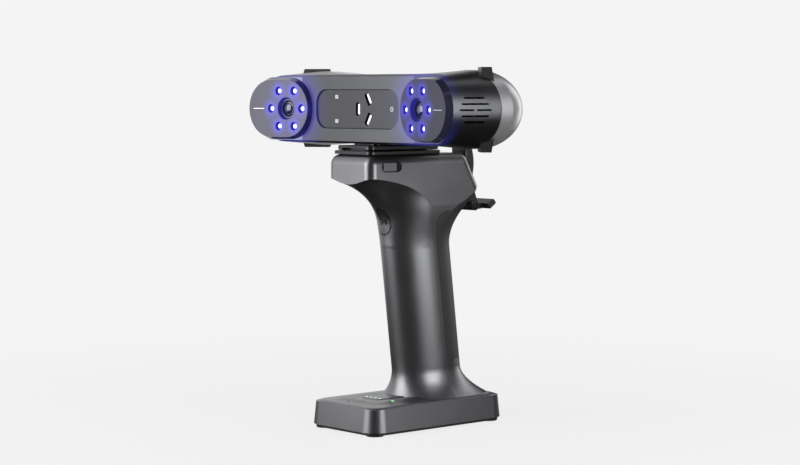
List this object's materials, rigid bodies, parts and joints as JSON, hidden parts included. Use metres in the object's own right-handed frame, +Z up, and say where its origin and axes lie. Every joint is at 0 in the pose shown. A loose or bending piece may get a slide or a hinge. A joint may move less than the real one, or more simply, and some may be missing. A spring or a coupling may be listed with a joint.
{
  "type": "handheld 3d scanner",
  "caption": "Handheld scanner head with paired camera covers on an upright battery grip, with a weighted base, quick-release collar and tilting phone clamp.",
  "frame": {"origin": "on the floor under the middle of the whole footprint, which runs from the camera covers to the phone clamp", "axes": "+Z up, -Y to the front where the cameras look, +X to the side with the release button"},
  "size_m": [0.212, 0.1288, 0.2422],
  "materials": {
    "housing": "dark grey satin plastic with a fine metallic fleck",
    "cover": "satin grey plastic with a polished bevel",
    "window": "dark satin panel",
    "back": "finely brushed light grey metal",
    "rubber": "moulded matt rubber",
    "clamp": "black moulded plastic",
    "button": "satin grey key plastic",
    "steel": "plain machined steel",
    "release": "anodised grey aluminium",
    "board": "green circuit board",
    "barrel": "black anodised lens barrel",
    "glass": "coated lens glass",
    "ring_light": "clear domed light with a blue glow",
    "light": "clear light pipe",
    "cell": "plain sleeved cell"
  },
  "bodies": {
    "handle": {"back_shell": "back", "base_board": "board", "base_cover": "housing", "base_feet": "rubber", "base_screws": "steel", "battery_cells": "cell", "bracket_screws": "steel", "bumpers": "rubber", "camera_board_left": "board", "camera_board_right": "board", "camera_cover_left": "cover", "camera_cover_right": "cover", "case_screws": "steel", "charge_lights": "light", "charge_socket": "steel", "chassis": "release", "clamp_bracket": "clamp", "colour_camera": "barrel", "data_socket": "steel", "emitters": "light", "fill_lights": "light", "front_housing": "housing", "grip_pad": "rubber", "handle_shell_left": "housing", "handle_shell_right": "housing", "hinge_pin": "steel", "key_board": "board", "key_switches": "board", "lens_barrel_left": "barrel", "lens_barrel_right": "barrel", "lens_left": "glass", "lens_right": "glass", "link_light": "light", "lock_spring": "steel", "main_board": "board", "mount_screw": "steel", "power_switch": "board", "projector": "clamp", "radio_board": "board", "release_base": "release", "release_plate": "release", "ring_board_left": "board", "ring_board_right": "board", "ring_lights_left": "ring_light", "ring_lights_right": "ring_light", "scan_board": "board", "scan_switch": "board", "window_board": "board", "window_panel": "window"},
    "scan_button": {"scan_button": "button"},
    "power_button": {"power_button": "button"},
    "release_button": {"release_button": "button"},
    "lock_bolt": {"lock_bolt": "steel"},
    "scan_key": {"scan_key": "button"},
    "plus_key": {"plus_key": "button"},
    "minus_key": {"minus_key": "button"},
    "clamp": {"clamp_spine": "clamp", "lower_jaw": "clamp"},
    "upper_jaw": {"upper_jaw": "clamp", "jaw_spring": "steel"}
  },
  "joints": [
    {"name": "scan_press", "type": "slide", "parent": "handle", "child": "scan_button", "axis": [0, 1, 0], "range_m": [0, 0.001], "stiffness_N_per_m": 1500, "springref_m": -0.0005},
    {"name": "power_press", "type": "slide", "parent": "handle", "child": "power_button", "axis": [0, 0, -1], "range_m": [0, 0.0006], "stiffness_N_per_m": 1800, "springref_m": -0.0005},
    {"name": "release_press", "type": "slide", "parent": "handle", "child": "release_button", "axis": [-1, 0, 0], "range_m": [0, 0.0015], "stiffness_N_per_m": 900, "springref_m": -0.0008},
    {"name": "bolt_drop", "type": "slide", "parent": "handle", "child": "lock_bolt", "axis": [0, 0, -1], "range_m": [0, 0.0015], "stiffness_N_per_m": 900, "springref_m": -0.0008, "deforming": ["lock_spring"]},
    {"name": "minus_key_press", "type": "slide", "parent": "handle", "child": "minus_key", "axis": [0, -1, 0], "range_m": [0, 0.0006], "stiffness_N_per_m": 1800, "springref_m": -0.0005},
    {"name": "scan_key_press", "type": "slide", "parent": "handle", "child": "scan_key", "axis": [0, -1, 0], "range_m": [0, 0.0006], "stiffness_N_per_m": 1800, "springref_m": -0.0005},
    {"name": "plus_key_press", "type": "slide", "parent": "handle", "child": "plus_key", "axis": [0, -1, 0], "range_m": [0, 0.0006], "stiffness_N_per_m": 1800, "springref_m": -0.0005},
    {"name": "clamp_tilt", "type": "hinge", "parent": "handle", "child": "clamp", "pos_m": [0, 0.04914, 0.1475], "axis": [1, 0, 0], "range_deg": [-45, 0]},
    {"name": "jaw_slide", "type": "slide", "parent": "clamp", "child": "upper_jaw", "axis": [0, 0, 1], "range_m": [0, 0.028], "stiffness_N_per_m": 90, "springref_m": -0.02, "deforming": ["jaw_spring"]}
  ],
  "couplings": [
    {"joint": "bolt_drop", "follows": "release_press", "ratio": 1}
  ]
}
